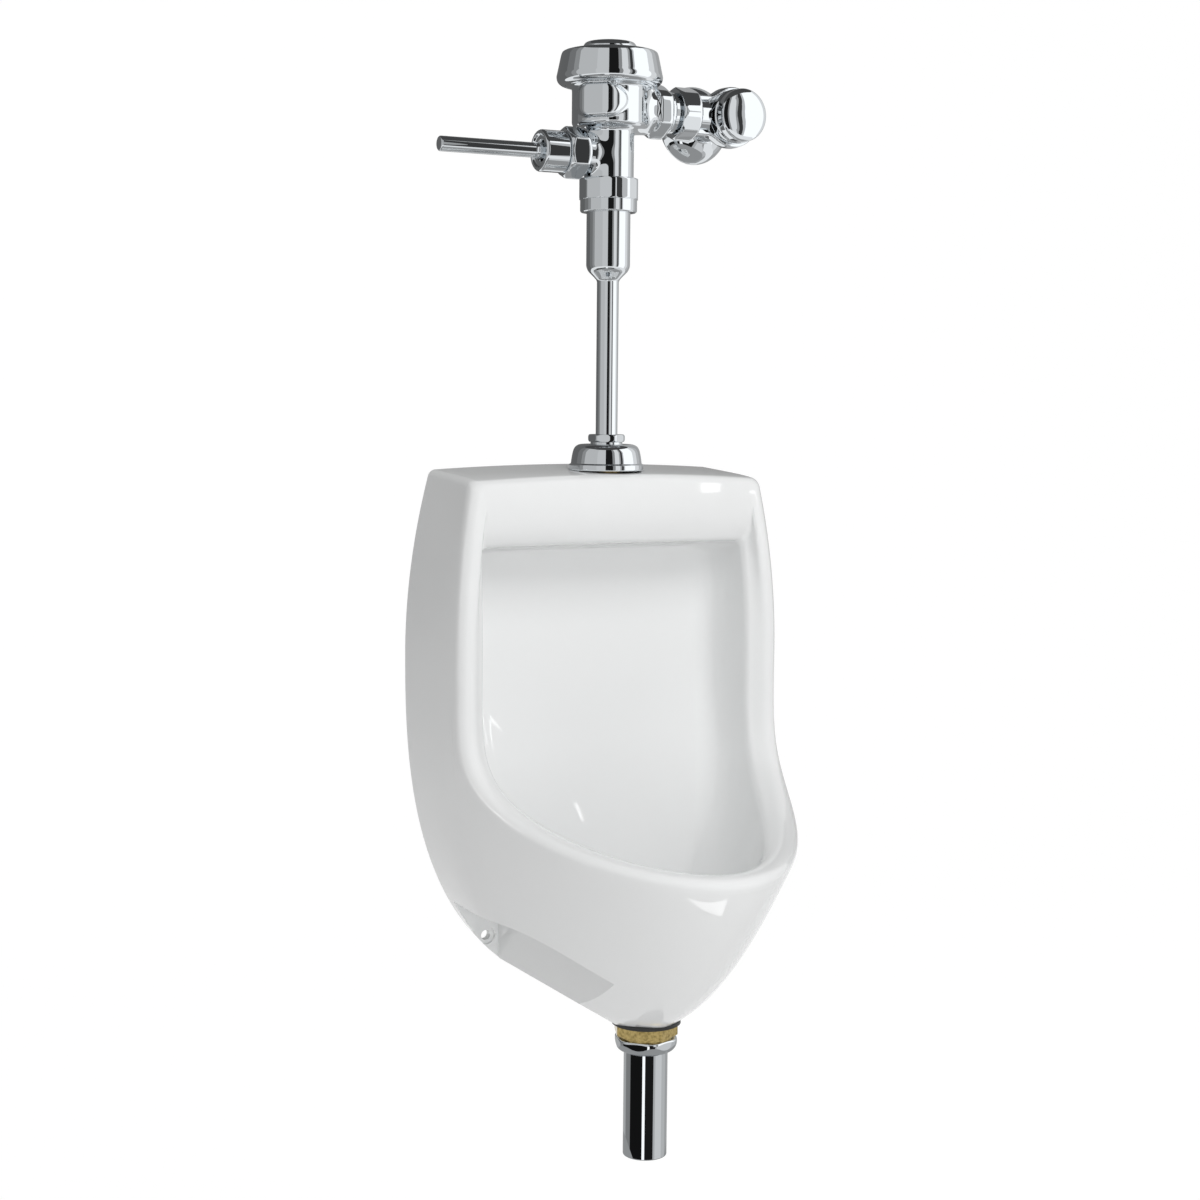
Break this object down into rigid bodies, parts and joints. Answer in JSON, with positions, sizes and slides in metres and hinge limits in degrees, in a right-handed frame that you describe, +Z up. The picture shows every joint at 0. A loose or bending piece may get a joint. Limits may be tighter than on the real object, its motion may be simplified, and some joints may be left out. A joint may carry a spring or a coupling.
{
  "type": "urinal",
  "caption": "Wall-hung washout urinal in white vitreous china with an exposed chrome flush valve, lever, control stop, flush tube and tailpiece.",
  "frame": {"origin": "on the flat back panel of the ceramic, in the wall plane, on the centre line, 60 mm below the ceramic's top", "axes": "+X to the right seen from the room, +Y into the wall, +Z up; the urinal faces -Y"},
  "size_m": [0.328, 0.3, 0.9583],
  "materials": {
    "vitreous_china": "glossy white glaze",
    "chrome_plate": "mirror polished chrome plate",
    "raw_brass": "machined brass",
    "rubber": "matt black rubber",
    "stainless_steel": "brushed stainless steel",
    "valve_plastic": "moulded dark plastic"
  },
  "bodies": {
    "fixture": {"bowl": "vitreous_china", "hanger_left": "stainless_steel", "hanger_right": "stainless_steel", "strainer": "stainless_steel", "strainer_screw": "stainless_steel", "outlet_spud": "raw_brass", "outlet_gasket": "rubber", "outlet_locknut": "raw_brass", "slip_washer": "rubber", "slip_nut": "chrome_plate", "tailpiece": "chrome_plate", "inlet_spud": "raw_brass", "inlet_gasket": "rubber", "inlet_locknut": "raw_brass", "spud_packing": "rubber", "spud_nut": "chrome_plate", "bell_flange": "chrome_plate", "flush_tube": "chrome_plate", "vacuum_breaker": "rubber", "tube_gasket": "rubber", "outlet_coupling": "chrome_plate", "valve_body": "chrome_plate", "inner_cover": "valve_plastic", "cap_cover": "chrome_plate", "diaphragm": "rubber", "handle_gasket": "rubber", "handle_bushing": "valve_plastic", "handle_nut": "chrome_plate", "handle_collar": "chrome_plate", "plunger_spring": "stainless_steel", "tail_tube": "chrome_plate", "tail_seal": "rubber", "tail_nut": "chrome_plate", "stop_body": "chrome_plate", "stop_bonnet": "raw_brass", "stop_spring": "stainless_steel", "stop_cap": "chrome_plate", "covering_tube": "chrome_plate", "wall_flange": "chrome_plate", "flange_screw": "stainless_steel"},
    "lever": {"lever": "chrome_plate"},
    "plunger": {"plunger": "raw_brass"},
    "guide": {"flush_guide": "valve_plastic"},
    "relief": {"relief_valve": "valve_plastic"},
    "screw": {"stop_screw": "raw_brass"},
    "piston": {"stop_piston": "raw_brass"}
  },
  "joints": [
    {"name": "lever_tilt", "type": "hinge", "parent": "fixture", "child": "lever", "pos_m": [-0.056, -0.0636, 0.334], "axis": [0, -1, 0], "range_deg": [0, 10], "stiffness_Nm_per_rad": 1.5, "springref_deg": -17.19},
    {"name": "plunger_slide", "type": "slide", "parent": "fixture", "child": "plunger", "axis": [1, 0, 0], "range_m": [0, 0.0018], "deforming": ["plunger_spring"]},
    {"name": "guide_lift", "type": "slide", "parent": "fixture", "child": "guide", "axis": [0, 0, 1], "range_m": [0, 0.005], "deforming": ["diaphragm"]},
    {"name": "relief_tilt", "type": "hinge", "parent": "guide", "child": "relief", "pos_m": [-0.0105, -0.0636, 0.4071], "axis": [0, -1, 0], "range_deg": [0, 1.5]},
    {"name": "stop_screw_turn", "type": "hinge", "parent": "fixture", "child": "screw", "pos_m": [0.12065, -0.0636, 0.374], "axis": [0, -1, 0], "range_deg": [0, 1440]},
    {"name": "stop_piston_slide", "type": "slide", "parent": "fixture", "child": "piston", "axis": [0, -1, 0], "range_m": [0, 0.0076], "deforming": ["stop_spring"]}
  ],
  "couplings": [
    {"joint": "plunger_slide", "follows": "lever_tilt", "m_per_rad": 0.0098},
    {"joint": "relief_tilt", "follows": "lever_tilt", "ratio": 0.1438},
    {"joint": "stop_piston_slide", "follows": "stop_screw_turn", "m_per_rad": 0.0002984}
  ]
}
